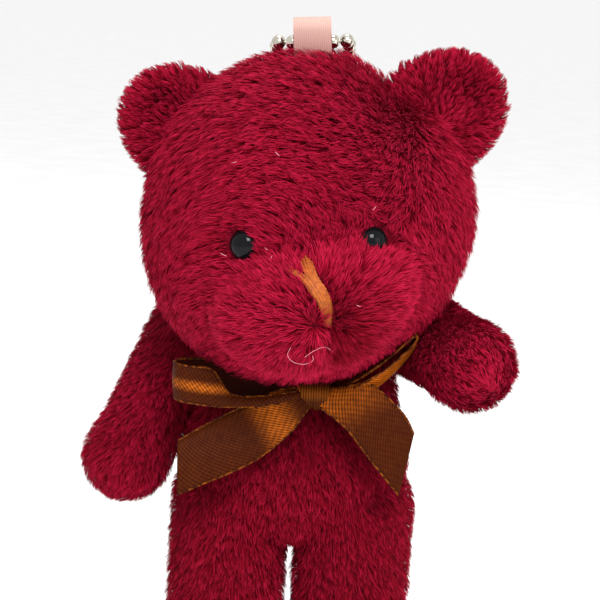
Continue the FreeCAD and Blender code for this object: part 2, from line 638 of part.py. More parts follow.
last = int(size("chain_beads"))
top_end, mid_end = int(size("chain_top_beads")), int(size("chain_mid_beads"))
for stretch, first_bead, last_bead in (("top", 0, top_end), ("mid", top_end + 1, mid_end),
                                       ("low", mid_end + 1, last)):
    beads, links = [], []
    for half in (half_chain, other_half):
        for number in range(first_bead, last_bead + 1):
            if number == 0 and half is other_half:
                continue
            inward = other_half[1] if number == 0 else half[number - 1]
            outward = [half[number + 1]] if number < last else []
            beads.append(bead_shape(half[number], [inward] + outward))
        for number in range(max(first_bead, 1), last_bead + 1):
            links.append(link_shape(half[number - 1], half[number]))
    chain_part(f"chain_{stretch}_beads", beads)
    chain_part(f"chain_{stretch}_links", links)

# %% clasp: a sleeve that holds the two end beads
clasp_middle = Vector(0, half_chain[last].y, -chain_drop - size("chain_corner"))
clasp_inside = size("bead_radius") + size("clasp_fit")
clasp_length = 2 * (size("clasp_bead_x") + clasp_inside + size("clasp_wall"))
clasp_start = clasp_middle - Vector(clasp_length / 2, 0, 0)
clasp_x = Vector(1, 0, 0)
sleeve = Part.makeCylinder(clasp_inside + size("clasp_wall"), clasp_length, clasp_start, clasp_x)
hollow = Part.makeCylinder(clasp_inside, clasp_length - 2 * size("clasp_wall"),
                           clasp_start + clasp_x * size("clasp_wall"), clasp_x)
mouths = Part.makeCylinder(size("clasp_mouth"), clasp_length, clasp_start, clasp_x)
chain_part("chain_clasp", [sleeve.cut(hollow.fuse(mouths))])

# %% check and write
doc.recompute()
for thing in doc.Objects:
    if {"Invalid", "Error"} & set(thing.State):
        raise RuntimeError(f"{thing.Label} is in state {thing.State}")
os.makedirs("parts", exist_ok=True)
for thing in SUB_PARTS:
    shape = thing.Shape
    if shape.isNull() or not shape.isValid() or not shape.Solids:
        raise RuntimeError(f"{thing.Label} has no valid shape")
    shape.exportStep(f"parts/{thing.Label}.step")
    print(f"{thing.Label}: {len(shape.Solids)} solid(s), {shape.Volume:.2f} mm3")
hinge_beads = {"upper": top_end, "lower": mid_end}
for bend, number in hinge_beads.items():
    along = (half_chain[number + 1] - half_chain[number]).normalize()
    hole = half_chain[number] + along * size("bead_radius")
    pivot = crown_place.multVec(Vector(0, hole.y, hole.z))
    print(f"chain bend {bend}: pivot {pivot}")
print(f"chain swing: pivot {crown_place.multVec(half_chain[0])}, clasp {crown_place.multVec(clasp_middle)}")
print(f"axis across the head {crown_place.Rotation.multVec(Vector(1, 0, 0))}")
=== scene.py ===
# %% [markdown]
# # A plush bear keychain
#
# A stuffed bear, 12 cm tall with its loop, sewn from crimson short-pile plush. It has glossy bead
# eyes, a stitched nose, a brown satin bow, and a pink ribbon loop that carries a steel ball chain.
# The construction comes in as a fixed frame of bodies. This lesson dresses it: cloth skins grown
# from distance fields, a pile of real fibres, woven ribbons and thread.

# %% The frame
import json
import math

import bmesh
import bpy
import numpy as np
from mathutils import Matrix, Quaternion, Vector, kdtree


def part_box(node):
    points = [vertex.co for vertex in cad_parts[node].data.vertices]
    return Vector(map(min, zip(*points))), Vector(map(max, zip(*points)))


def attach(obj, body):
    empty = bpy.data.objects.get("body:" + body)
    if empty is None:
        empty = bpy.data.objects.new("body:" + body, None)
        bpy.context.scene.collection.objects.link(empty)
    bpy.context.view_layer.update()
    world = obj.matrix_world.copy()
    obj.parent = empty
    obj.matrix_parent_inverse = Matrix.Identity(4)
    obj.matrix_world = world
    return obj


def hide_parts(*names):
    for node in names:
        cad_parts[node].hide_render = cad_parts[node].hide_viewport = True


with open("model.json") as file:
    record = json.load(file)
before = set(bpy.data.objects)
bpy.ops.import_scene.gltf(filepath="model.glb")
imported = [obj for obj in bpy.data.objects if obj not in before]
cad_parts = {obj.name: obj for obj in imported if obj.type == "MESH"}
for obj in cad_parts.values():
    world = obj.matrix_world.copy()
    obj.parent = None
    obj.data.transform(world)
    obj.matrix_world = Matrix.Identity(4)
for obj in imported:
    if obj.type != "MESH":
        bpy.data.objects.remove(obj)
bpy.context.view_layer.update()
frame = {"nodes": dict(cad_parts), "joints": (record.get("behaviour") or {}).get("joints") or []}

MM = 0.001                     # lengths below are in millimetres, and meshes are in metres

# %% [markdown]
# ## Camera
#
# A portrait of the upper body from slightly above. A short lens would swell the muzzle, so the
# camera stands off, and its lens follows from how wide the view is at the bear. The bear leans a
# little as it hangs, and the camera is rolled instead of the frame. The frame can't be turned,
# so the camera is rolled instead.

# %% Camera
def middle(node):
    """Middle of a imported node, in millimetres."""
    low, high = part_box(node)
    return (low + high) / 2 / MM


head_middle = Vector((0.0, 1.0, middle("head_skin").z))
view_distance, view_width = 350.0, 100.2
elevation, roll = math.radians(9.0), math.radians(3.3)
aim = head_middle + Vector((-0.7, 0.0, -14.1))

camera_data = bpy.data.cameras.new("portrait_camera")
camera_data.sensor_width = 36.0
camera_data.lens = camera_data.sensor_width * view_distance / view_width
camera_data.clip_start, camera_data.clip_end = 0.01, 60.0
camera = bpy.data.objects.new("portrait_camera", camera_data)
bpy.context.scene.collection.objects.link(camera)
towards_viewer = Vector((0.0, -math.cos(elevation), math.sin(elevation)))
camera.location = (aim + view_distance * towards_viewer) * MM
camera.rotation_mode = "QUATERNION"
looking = (-towards_viewer).to_track_quat("-Z", "Y")
camera.rotation_quaternion = looking @ Quaternion((0, 0, 1), roll)
bpy.context.scene.camera = camera
print("lens", round(camera_data.lens, 1), "mm")

# %% [markdown]
# ## Shader arithmetic
#
# A finish is a small formula: the colour of a fibre, the glint of a thread. Wiring it node by node
# hides the formula, so one class wraps a socket and turns +, - and * into Math nodes.

# %% A socket that does arithmetic
class Tap:
    """The output of a node, on which arithmetic adds Math nodes."""

    def __init__(self, paint, socket):
        self.paint, self.socket = paint, socket

    def math(self, operation, *values):
        return self.paint.node("ShaderNodeMath", {"operation": operation}, dict(enumerate(values)))

    def __add__(self, other):
        return self.math("ADD", self, other)

    def __sub__(self, other):
        return self.math("SUBTRACT", self, other)

    def __rsub__(self, other):
        return self.math("SUBTRACT", other, self)

    def __mul__(self, other):
        return self.math("MULTIPLY", self, other)

    __radd__, __rmul__ = __add__, __mul__

    def wave(self, pitch):
        """A ripple between 0 and 1 that comes back once in every pitch."""
        turned = self * (2 * math.pi / pitch)
        return turned.math("SINE", turned) * 0.5 + 0.5

    def steps(self, low, high):
        """0 below low, 1 above high."""
        settings = {"interpolation_type": "SMOOTHSTEP"}
        return self.paint.node("ShaderNodeMapRange", settings, {"Value": self, 1: low, 2: high})


# %% [markdown]
# ## A paint
#
# Every finish here is one Principled shader. A value that is the same all over is set on the
# shader's own socket. A value that changes comes through a node, and every node is made by one
# method: it takes the node's type, then its settings, then what goes into its sockets.

# %% A paint
class Paint:
    """A material with one Principled shader, whose fixed sockets are set by name."""

    def __init__(self, name, **fixed):
        self.material = bpy.data.materials.new(name)
        self.material.use_nodes = True
        self.nodes = self.material.node_tree.nodes
        self.shader = self.nodes["Principled BSDF"]
        self.set(**fixed)

    def node(self, kind, settings, inputs, output=0):
        made = self.nodes.new(kind)
        for key, value in settings.items():
            if key == "stops":
                ramp = made.color_ramp
                while len(ramp.elements) < len(value):
                    ramp.elements.new(1.0)
                for element, (place, colour) in zip(ramp.elements, value):
                    element.position, element.color = place, (*colour, 1.0)
            else:
                setattr(made, key, value)
        for key, value in inputs.items():
            self.feed(made.inputs[key], value)
        return Tap(self, made.outputs[output])

    def feed(self, socket, value):
        if isinstance(value, Tap):
            self.material.node_tree.links.new(value.socket, socket)
        else:
            socket.default_value = value

    def set(self, **sockets):
        for name, value in sockets.items():
            self.feed(self.shader.inputs[name.replace("_", " ")], value)
        return self.material

    def place(self):
        """Position on the piece, in metres, which moves with the piece."""
        return self.node("ShaderNodeTexCoord", {}, {}, "Object")

    def part(self, vector, axis):
        """One number of a vector: 0, 1 or 2."""
        return self.node("ShaderNodeSeparateXYZ", {}, {0: vector}, axis)

    def noise(self, scale, detail=2.0):
        inputs = {"Scale": scale, "Detail": detail, "Vector": self.place()}
        return self.node("ShaderNodeTexNoise", {}, inputs)

    def ramp(self, value, *stops):
        return self.node("ShaderNodeValToRGB", {"stops": stops}, {0: value})

    def mix(self, share, first, second):
        colours = {0: share, 6: self.colour(first), 7: self.colour(second)}
        return self.node("ShaderNodeMix", {"data_type": "RGBA"}, colours, 2)

    def colour(self, value):
        return value if isinstance(value, Tap) else (*value, 1.0)

    def bump(self, height, distance, strength=1.0):
        inputs = {"Height": height, "Distance": distance, "Strength": strength}
        return self.node("ShaderNodeBump", {}, inputs)

    def map(self, name):
        """The two coordinates of a named UV map."""
        uv = self.node("ShaderNodeUVMap", {"uv_map": name}, {})
        return self.part(uv, 0), self.part(uv, 1)


def wear(piece, material):
    """Give a piece one material."""
    piece.data.materials.clear()
    piece.data.materials.append(material)


# %% [markdown]
# ## Forms as distance fields
#
# Each stuffed piece is a few soft lumps that melt into each other, as cloth over stuffing does.
# They could be sculpted, or blown up by a cloth simulation, but both are hard to steer to a given
# face. A distance field says each lump in one line, and a smooth minimum melts them together.

# %% Lumps
def array(*numbers):
    return np.array(numbers, float)


def oval(points, centre, radii):
    """Distance, nearly, from an ellipsoid."""
    offset, radii = points - centre, np.array(radii, float)
    reach = np.linalg.norm(offset / radii, axis=1)
    slope = np.linalg.norm(offset / radii ** 2, axis=1) + 1e-9
    return reach * (reach - 1) / slope


def limb(points, start, end, first, last):
    """Distance from a rounded limb whose radius goes from first to last."""
    along = end - start
    share = np.clip((points - start) @ along / (along @ along), 0, 1)
    near = np.linalg.norm(points - start - share[:, None] * along, axis=1)
    return near - (first + (last - first) * share)


sample = oval(np.array([(0, 0, 0), (3, 0, 0), (4, 0, 0)]), array(0, 0, 0), (3, 2, 2))
print("inside, on and outside an oval", sample.round(2))

# %% Melting and leaning
def melt(first, second, soft):
    """The union of two fields, rounded where they meet."""
    share = np.clip(0.5 + 0.5 * (second - first) / soft, 0, 1)
    return second + (first - second) * share - soft * share * (1 - share)


def turn_about_y(points, degrees):
    """Lean points to the bear's left, about the origin."""
    c, s = math.cos(math.radians(degrees)), math.sin(math.radians(degrees))
    x, y, z = points[:, 0], points[:, 1], points[:, 2]
    return np.stack([x * c + z * s, y, z * c - x * s], axis=1)


print("a crease melts by", melt(array(0), array(0), 4.0), "mm")

# %% [markdown]
# ## Skins
#
# A field has no surface until something looks for its zero. Marching over a grid leaves uneven
# triangles, so a ball of fine, even ones is pushed out instead: each point starts on a spine inside
# the form and halves its step until it sits on the zero.

# %% Meshes from points
def mesh_object(name, points, faces):
    """A smooth mesh object from points in millimetres."""
    mesh = bpy.data.meshes.new(name)
    mesh.from_pydata((np.asarray(points) * MM).tolist(), [], [tuple(face) for face in faces])
    mesh.polygons.foreach_set("use_smooth", [True] * len(mesh.polygons))
    mesh.update()
    piece = bpy.data.objects.new(name, mesh)
    bpy.context.scene.collection.objects.link(piece)
    return piece


def take(shape):
    """The points and faces of a bmesh, which is then given back."""
    points = np.array([v.co for v in shape.verts])
    faces = [[v.index for v in f.verts] for f in shape.faces]
    shape.free()
    return points, faces


# %% Skins
HALVINGS, FARTHEST = 26, 45.0  # steps of the search, and the longest way out from a spine


def skin(name, field, start, end=None, detail=5):
    """Push a fine ball out from the spine start-end to the zero of a field."""
    start = np.array(start, float)
    end = start if end is None else np.array(end, float)
    shape = bmesh.new()
    bmesh.ops.create_icosphere(shape, subdivisions=detail, radius=1.0)
    out, faces = take(shape)
    half, length = (end - start) / 2, np.linalg.norm(end - start)
    lean = out @ (half / (length / 2)) if length else np.zeros(len(out))
    roots = (start + end) / 2 + lean[:, None] * half
    near, far = np.zeros(len(out)), np.full(len(out), FARTHEST)
    for _ in range(HALVINGS):
        halfway = (near + far) / 2
        inside = field(roots + out * halfway[:, None]) < 0
        near, far = np.where(inside, halfway, near), np.where(inside, far, halfway)
    piece = mesh_object(name, roots + out * near[:, None], faces)
    print(name, len(out), "points")
    return piece


# %% [markdown]
# ## Fibres of the pile
#
# Short-pile plush is knitted with fibres that stand up, lean with the nap and gather in small
# tufts. Bump alone leaves a hard outline, and hair curves don't survive an export, so each fibre is
# a thin tapering blade of mesh. Fibres are strewn evenly over a skin, take the nap's direction
# there, and are drawn to the tip of their tuft.

# %% Roots of the fibres
def unit(vectors):
    return vectors / (np.linalg.norm(vectors, axis=1)[:, None] + 1e-9)


def scatter(cloth, density, rng):
    """Random points on a skin with its normals, so many to a square millimetre."""
    mesh = cloth.data
    mesh.calc_loop_triangles()
    points = np.empty(len(mesh.vertices) * 3, np.float32)
    normals = np.empty(len(mesh.vertices) * 3, np.float32)
    corners = np.empty(len(mesh.loop_triangles) * 3, np.int32)
    mesh.vertices.foreach_get("co", points)
    mesh.vertex_normals.foreach_get("vector", normals)
    mesh.loop_triangles.foreach_get("vertices", corners)
    points = points.reshape(-1, 3).astype(float) / MM
    normals = normals.reshape(-1, 3).astype(float)
    a, b, c = corners.reshape(-1, 3).T
    areas = np.linalg.norm(np.cross(points[b] - points[a], points[c] - points[a]), axis=1) / 2
    count = int(areas.sum() * density)
    chosen = rng.choice(len(areas), count, p=areas / areas.sum())
    u, v = rng.random(count), rng.random(count)
    over = u + v > 1
    u, v = np.where(over, 1 - u, u)[:, None], np.where(over, 1 - v, v)[:, None]
    a, b, c = a[chosen], b[chosen], c[chosen]
    return (points[a] * (1 - u - v) + points[b] * u + points[c] * v,
            unit(normals[a] * (1 - u - v) + normals[b] * u + normals[c] * v))


# %% Tufts
def tufts(roots, size, rng):
    """For each root, the root at the middle of its tuft; a tuft has about size fibres."""
    centres = rng.choice(len(roots), max(1, len(roots) // size), replace=False)
    tree = kdtree.KDTree(len(centres))
    for number, centre in enumerate(centres):
        tree.insert(roots[centre], number)
    tree.balance()
    return centres[[tree.find(root)[1] for root in roots]]


def vary(rng, home, by_tuft, by_fibre):
    """Random spread, partly shared in each tuft."""
    return rng.normal(0, by_tuft, len(home))[home] + rng.normal(0, by_fibre, len(home))


# %% Blades
SUNK = 0.1                     # how deep a fibre starts in the cloth
BLADE = ((0.0, 0.5), (0.4, 0.5), (0.75, 0.32))  # share of the length, half width there


def blades(roots, normals, tips, turn, wide):
    """Seven points of a curved, tapering blade from each root to its tip."""
    reach = tips - roots
    rise = (reach * normals).sum(1)[:, None] * normals
    run = reach - rise
    flat = unit(np.cross(reach, normals))
    flat = flat * np.cos(turn) + np.cross(unit(reach), flat) * np.sin(turn)
    points = np.empty((len(roots), 7, 3))
    for row, (share, half) in enumerate(BLADE):
        line = roots - SUNK * normals + rise * (1 - (1 - share) ** 2) + run * share ** 1.5
        points[:, 2 * row] = line - flat * half * wide
        points[:, 2 * row + 1] = line + flat * half * wide
    points[:, 6] = tips
    return points


# %% Strands
SHADES = 64                    # columns of the palette


def strands(name, points, left):
    """Blades as one mesh. Its map has the shade across, from left on, and the length upwards."""
    count = len(points)
    blade = np.arange(count)[:, None]
    mesh = bpy.data.meshes.new(name)
    mesh.vertices.add(count * 7)
    mesh.vertices.foreach_set("co", (points * MM).astype(np.float32).ravel())
    corners = np.array([0, 1, 3, 2, 2, 3, 5, 4, 4, 5, 6]) + 7 * blade
    mesh.loops.add(count * 11)
    mesh.loops.foreach_set("vertex_index", corners.ravel().astype(np.int32))
    starts = np.array([0, 4, 8]) + 11 * blade
    mesh.polygons.add(count * 3)
    mesh.polygons.foreach_set("loop_start", starts.ravel().astype(np.int32))
    mesh.polygons.foreach_set("use_smooth", [True] * (count * 3))
    across = np.array([0.1, 0.9, 0.9, 0.1, 0.1, 0.9, 0.9, 0.1, 0.1, 0.9, 0.5]) / SHADES
    upward = np.array([0.02, 0.02, 0.4, 0.4, 0.4, 0.4, 0.75, 0.75, 0.75, 0.75, 0.98])
    maps = np.stack([left[:, None] + across, np.broadcast_to(upward, (count, 11))], axis=2)
    mesh.uv_layers.new(name="OFBake").data.foreach_set("uv", maps.astype(np.float32).ravel())
    mesh.update(calc_edges=True)
    piece = bpy.data.objects.new(name, mesh)
    bpy.context.scene.collection.objects.link(piece)
    print(name, count, "fibres")
    return piece


# %% Fur
LEAN_OF_FIBRE = 52             # degrees from upright


def fur(name, cloth, comb, length, density, seed, where=None, shade=None, tuft=13, gather=0.22):
    """A pile of fibres on a cloth: comb gives the nap, where its share of the full length."""
    rng = np.random.default_rng(seed)
    roots, normals = scatter(cloth, density, rng)
    lengths = np.full(len(roots), float(length))
    if where is not None:
        share = where(roots)
        kept = share > 0.02
        roots, normals, lengths = roots[kept], normals[kept], share[kept] * length
    flow = comb(roots)
    flow = unit(flow - (flow * normals).sum(1)[:, None] * normals)
    home = tufts(roots, tuft, rng)
    swing = vary(rng, home, 0.22, 0.22)[:, None]
    slope = np.radians(LEAN_OF_FIBRE + vary(rng, home, 5, 6))[:, None]
    lengths = lengths * (1 + vary(rng, home, 0.08, 0.1)).clip(0.5, 1.4)
    along = flow * np.cos(swing) + np.cross(normals, flow) * np.sin(swing)
    tips = roots + (normals * np.cos(slope) + along * np.sin(slope)) * lengths[:, None]
    tips += gather * (tips[home] - tips)
    turn = rng.normal(0, 0.7, len(roots))[:, None]
    tone = 0.5 + vary(rng, home, 0.1, 0.16) + (0 if shade is None else shade(roots))
    column = (tone.clip(0, 0.999) * SHADES).astype(int)
    return strands(name, blades(roots, normals, tips, turn, 0.12), column / SHADES)


# %% [markdown]
# ## Plush finishes
#
# A crimson fibre is nearly black-red at its root, where no light gets in, and pinkish at its tip,
# where it is thin enough to glow. Hair shading would show that, but costs much light and time. A
# palette on each fibre's own map does it with plain colour: shade across, length upwards.

# %% Pile
pile = Paint("crimson_pile", Roughness=0.7, Specular_IOR_Level=0.04, Sheen_Weight=0.14,
             Sheen_Roughness=0.4, Sheen_Tint=(0.85, 0.05, 0.16, 1.0))
shade_across, length_up = pile.map("OFBake")
dark_fibre = pile.ramp(length_up, (0.0, (0.10, 0.0008, 0.005)), (0.5, (0.155, 0.001, 0.007)),
                       (1.0, (0.20, 0.0013, 0.010)))
light_fibre = pile.ramp(length_up, (0.0, (0.19, 0.0015, 0.009)), (0.5, (0.35, 0.004, 0.026)),
                        (1.0, (0.56, 0.014, 0.062)))
crimson_pile = pile.set(Base_Color=pile.mix(shade_across, dark_fibre, light_fibre))
print("pile nodes", len(pile.nodes))

# %% Knitted backing under the pile, painted dark for the shade among the fibres' roots, and dull
backing = Paint("backing_in_painted_shade", Roughness=0.9, Specular_IOR_Level=0.05)
knit = backing.noise(900.0, 3.0)
backing_in_painted_shade = backing.set(
    Base_Color=backing.ramp(knit, (0.3, (0.05, 0.0006, 0.004)), (0.7, (0.16, 0.002, 0.011))),
    Normal=backing.bump(knit, 0.0004))
print("backing nodes", len(backing.nodes))

# %% [markdown]
# ## Head
#
# The head is one ball with a smaller one, the muzzle, sewn low on its face. The stitch of the nose
# pulls a crease down the muzzle's middle, which splits it in two soft lobes. Both are one skin
# here, melted at the seam, because the pile hides where one cloth ends.

# %% The head's own frame
LEAN = -4.5                    # of the head, towards the bear's right shoulder
head_centre = np.array(head_middle)


def in_head(points):
    """Points in the head's own frame, upright and about its middle."""
    return turn_about_y(points - head_centre, -LEAN)


def out_of_head(points):
    return turn_about_y(np.atleast_2d(np.array(points, float)), LEAN) + head_centre


print("head centre", head_centre.round(1))

# %% Head form
head_radii, jowl = array(26.5, 23.8, 26.5), 0.09
muzzle_middle, muzzle_radii = array(0.7, -17.0, -11.6), (15.2, 13.2, 10.6)
crease_x, crease_top, crease_bottom, crease_depth = 2.7, -9.0, -22.0, 2.2
muzzle_back = -15.0            # the muzzle lies ahead of this y


def head_field(points):
    local = in_head(points)
    x, z = local[:, 0], local[:, 2]
    spread = local - jowl * np.minimum(local[:, 2:], 0) * array(1, 0, 0)
    dent = np.exp(-((x - 15) ** 2 + (z - 21) ** 2) / 50)
    ball = oval(spread, array(0, 0, 0), head_radii) + 1.8 * dent
    rise = 0.08 * local[:, :1] + 0.17 * np.maximum(local[:, :1] - 3, 0)
    muzzle = oval(local - rise * array(0, 0, 1), muzzle_middle, muzzle_radii)
    beside = np.exp(-((x - crease_x) / 1.8) ** 2)
    below = 1 / (1 + np.exp((z - crease_top) * 1.2))
    above = 1 + np.exp((crease_bottom - z) * 0.8)
    crease = crease_depth * beside * (below / above) * (local[:, 1] < muzzle_back)
    return melt(ball, muzzle, 1.2) + crease


head_cloth = skin("head_cloth", head_field, head_centre + array(0, -3, -2), detail=6)
wear(head_cloth, backing_in_painted_shade)
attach(head_cloth, "head")
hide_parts("head_skin", "muzzle_skin", "head_stuffing", "muzzle_stuffing",
            "eye_washer_left", "eye_washer_right")

# %% [markdown]
# ## Nap of the head
#
# The forehead is cut with its nap lying sideways, so its tufts run in level streaks. On the muzzle
# the pile opens out from the foot of the nose like petals, and at the cheeks it falls outwards. One
# rule gives a direction at any point, so no fibre has to be combed by hand.

# %% Nap of the head
EYES = {side: np.array(middle("eye_" + side)) for side in ("left", "right")}
petals = array(1.2, -30.0, -13.5)


def head_comb(points):
    local = in_head(points)
    from_nose = unit(local - petals)
    distance = np.linalg.norm((local - petals) / array(19, 30, 16), axis=1)
    near_nose = np.clip(1.6 - distance, 0, 1)[:, None]
    bend = np.pi / 2 * np.clip(np.abs(local[:, 0]) / 23, 0, 1) ** 1.5
    level = np.stack([-np.cos(bend), np.zeros(len(local)), -np.sin(bend)], axis=1)
    behind = np.clip(local[:, 1] / 10, 0, 1)[:, None]
    rest = level * (1 - behind) + array(0, 0.4, -1) * behind
    return turn_about_y(unit(from_nose * near_nose + rest * (1 - near_nose)), LEAN)


print("nap at the crown", head_comb(out_of_head((0, 0, 26))).round(2))

# %% Where the pile of the face is short
NOSE_POINTS = ((-0.8, -3.4), (1.4, -7.2), (2.6, -9.8), (2.7, -12.7))


def face_clearings(points):
    """1 where the pile is full, less around the eyes and the nose stitches."""
    local = in_head(points)
    full = np.ones(len(points))
    for eye in EYES.values():
        away = np.linalg.norm(points - eye, axis=1)
        full *= np.clip((away - 2.5) / 2.0, 0, 1) ** 0.7
    flat = local[:, [0, 2]]
    for start, end in zip(NOSE_POINTS, NOSE_POINTS[1:]):
        start, along = np.array(start), np.array(end) - np.array(start)
        share = np.clip((flat - start) @ along / (along @ along), 0, 1)
        away = np.linalg.norm(flat - start - share[:, None] * along, axis=1)
        full *= np.where(local[:, 1] < muzzle_back, np.clip(0.3 + away / 2.0, 0, 1), 1)
    return full


# %% Shades of the face
def face_shade(points):
    """The muzzle is paler, and its left lobe lies in the crease's shade."""
    local = in_head(points)
    x, z = local[:, 0], local[:, 2]
    distance = np.linalg.norm((local - array(0.7, -22, -13)) / array(15, 14, 13), axis=1)
    muzzle = np.clip(1.4 - distance, 0, 0.7)
    beside = np.clip((x - crease_x + 0.5) / 1.5, 0, 1) * np.clip((13 - x) / 6, 0, 1)
    lobe = beside * np.clip(1.2 - np.abs(z + 15) / 8, 0, 1)
    return 0.35 * muzzle - 0.55 * lobe * (local[:, 1] < muzzle_back)


# %% Head fur, in three pieces
def front(points):
    return (in_head(points)[:, 1] < -6).astype(float)


def forehead_only(points):
    return face_clearings(points) * front(points) * (in_head(points)[:, 2] > 1.5)


def muzzle_only(points):
    return face_clearings(points) * front(points) * (in_head(points)[:, 2] <= 1.5)


def back_only(points):
    return 1 - front(points)


head_parts = (("forehead_fur", forehead_only, 2.3, 17.0, 11),
              ("muzzle_fur", muzzle_only, 2.6, 16.0, 12),
              ("back_of_head_fur", back_only, 2.3, 7.8, 13))
for name, part, length, density, seed in head_parts:
    piece = fur(name, head_cloth, head_comb, length, density, seed, where=part, shade=face_shade)
    wear(piece, crimson_pile)
    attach(piece, "head")

# %% [markdown]
# ## Ears
#
# An ear is a flat round pocket, sewn on at its straight edge and dished in front, so its rim
# catches the light and its hollow stays dark. One oval cut out of another gives that dish with a
# soft rim, where a bent sheet would show its two layers.

# %% Ears
ear_tips, ear_seams = {"left": 53.0, "right": -53.0}, {"left": 27.2, "right": 24.6}
ear_seeds = {"left": 24, "right": 25}
for side in ("left", "right"):
    tip = math.radians(ear_tips[side])
    up = array(math.sin(tip), 0, math.cos(tip))
    across = array(math.cos(tip), 0, -math.sin(tip))
    seam = up * ear_seams[side]

    def ear_field(points, up=up, across=across, seam=seam):
        local = in_head(points) - seam
        flat = np.stack([local @ across, local[:, 1], local @ up], axis=1)
        flap = oval(flat, array(0, 0.3, 0), (9.2, 3.0, 11.2))
        dish = oval(flat, array(0, -8.4, 4.6), (7.6, 8.8, 7.9))
        return np.maximum(flap, -dish)

    def ear_comb(points, up=up, seam=seam):
        local = in_head(points) - seam
        outward = local * array(1, 0, 1)
        return turn_about_y(unit(outward + up * 4 + array(-2.5, 0, 0)), LEAN)

    start, end = out_of_head((seam + array(0, 1.2, 0), seam + up * 5 + array(0, 1.6, 0)))
    cloth = skin("ear_cloth_" + side, ear_field, start, end)
    wear(cloth, backing_in_painted_shade)
    pelt = fur("ear_fur_" + side, cloth, ear_comb, 1.7, 18.0, ear_seeds[side], tuft=14, gather=0.5)
    wear(pelt, crimson_pile)
    for piece in (cloth, pelt):
        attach(piece, "head")
    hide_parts("ear_" + side)

# %% [markdown]
# ## Torso
#
# The torso is a small pear that leans back under the big head: a belly, a chest and a nape, melted
# into one. Its pile falls downwards and is a little finer than on the face, and it is painted darker
# for the shade under the head.

# %% Torso form
hip_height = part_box("torso_skin")[0].z / MM + 4.0
body_y = 7.0


def torso_field(points):
    belly = oval(points, array(0, body_y, hip_height + 8.5), (18.4, 12.2, 15.0))
    chest = oval(points, array(0, body_y + 1.0, hip_height + 21), (15.6, 9.8, 12.0))
    nape = oval(points, array(0, body_y + 4.5, hip_height + 26), (14.0, 6.5, 6.5))
    return melt(melt(belly, chest, 5.0), nape, 4.0)


spine = array(0, body_y, hip_height + 6), array(0, body_y + 2, hip_height + 22)
torso_cloth = skin("torso_cloth", torso_field, *spine)

# %% Torso fur
def falling_comb(points):
    away = points - array(0, body_y, 0)
    away[:, 2] = 0
    return unit(unit(away) * 0.2 + array(0.12, 0, -1))


def body_shade(points):
    # painted shade: the torso and legs are darker, in the shade of the head
    return np.full(len(points), -0.26)


torso_fur = fur("torso_fur", torso_cloth, falling_comb, 1.9, 10.6, 31, shade=body_shade)
wear(torso_cloth, backing_in_painted_shade)
wear(torso_fur, crimson_pile)
for piece in (torso_cloth, torso_fur):
    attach(piece, "torso")
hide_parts("torso_skin", "torso_stuffing")

# %% [markdown]
# ## Arms
#
# An arm is a soft sausage, widest at the paw, whose closed end is tucked high behind the cheek.
# Its root is round about the seam, so that it can swing there and leave no gap. The left arm points
# at the viewer and catches more light, so its shade is lighter.

# %% Arms
ARM_SPREAD = math.radians(25.0)
arm_forward, arm_length = {"left": 83.0, "right": 16.0}, {"left": 23.0, "right": 24.0}
arm_lift = {"left": array(-1.6, 0.0, 3.0), "right": array(0.8, 0.0, -0.6)}
arm_seeds = {"left": 41, "right": 39}
limb_joints = {joint["child"]: joint for joint in frame["joints"]}


def arm_shade(points):
    # painted light on the left arm, which points at the viewer, and painted shade on the right one
    return np.where(points[:, 0] > 0, 0.26, -0.12)


for side, sign in (("left", 1), ("right", -1)):
    swing = math.radians(arm_forward[side])
    hanging = array(0, -math.sin(swing), -math.cos(swing))
    down = hanging * math.cos(ARM_SPREAD) + array(sign, 0, 0) * math.sin(ARM_SPREAD)
    root = np.array(limb_joints["arm_" + side]["pos_m"]) / MM + arm_lift[side]
    paw = root + down * arm_length[side]

    def arm_field(points, root=root, paw=paw):
        sausage = limb(points, root, paw, 7.2, 6.0)
        return melt(sausage, oval(points, paw, (6.6, 6.2, 6.6)), 2.0)

    def arm_comb(points, down=down):
        return np.broadcast_to(down + array(0, 0, -0.2), points.shape)

    cloth = skin("arm_cloth_" + side, arm_field, root, paw)
    pelt = fur("arm_fur_" + side, cloth, arm_comb, 1.8, 14.0, arm_seeds[side], shade=arm_shade)
    wear(cloth, backing_in_painted_shade)
    wear(pelt, crimson_pile)
    for piece in (cloth, pelt):
        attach(piece, "arm_" + side)
    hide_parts(f"arm_{side}_skin", f"arm_{side}_stuffing")

# %% [markdown]
# ## Legs
#
# A leg is a straight tube with a foot that sticks out in front and a flat sole to stand on. The
# field is cut off level for the sole, and the pile there is pressed flat by the bear's weight, so
# no fibre goes below the ground.

# %% Legs
leg_seeds = {"left": 51, "right": 49}


def off_the_ground(points):
    return np.clip((points[:, 2] - 0.6) / 2.0, 0, 1)


for side in ("left", "right"):
    hip = np.array(limb_joints["leg_" + side]["pos_m"]) / MM
    ankle = array(hip[0], hip[1], 8.0)
    foot = array(hip[0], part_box(f"leg_{side}_skin")[0].y / MM + 11.2, 6.0)

    def leg_field(points, hip=hip, ankle=ankle, foot=foot):
        tube = limb(points, hip, ankle, 9.3, 9.1)
        whole = melt(tube, oval(points, foot, (9.2, 11.0, 7.0)), 2.5)
        return np.maximum(whole, 0.5 - points[:, 2])

    cloth = skin("leg_cloth_" + side, leg_field, ankle, hip)
    pelt = fur("leg_fur_" + side, cloth, falling_comb, 1.8, 10.0, leg_seeds[side],
               where=off_the_ground, shade=body_shade)
    wear(cloth, backing_in_painted_shade)
    wear(pelt, crimson_pile)
    for piece in (cloth, pelt):
        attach(piece, "leg_" + side)
    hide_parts(f"leg_{side}_skin", f"leg_{side}_stuffing")

# %% [markdown]
# ## Thread
#
# Sewing thread is two plies twisted together. A curve with a round bevel would be a wire, so a
# thread here is a tube that bulges in a slow screw, which reads as the two plies.

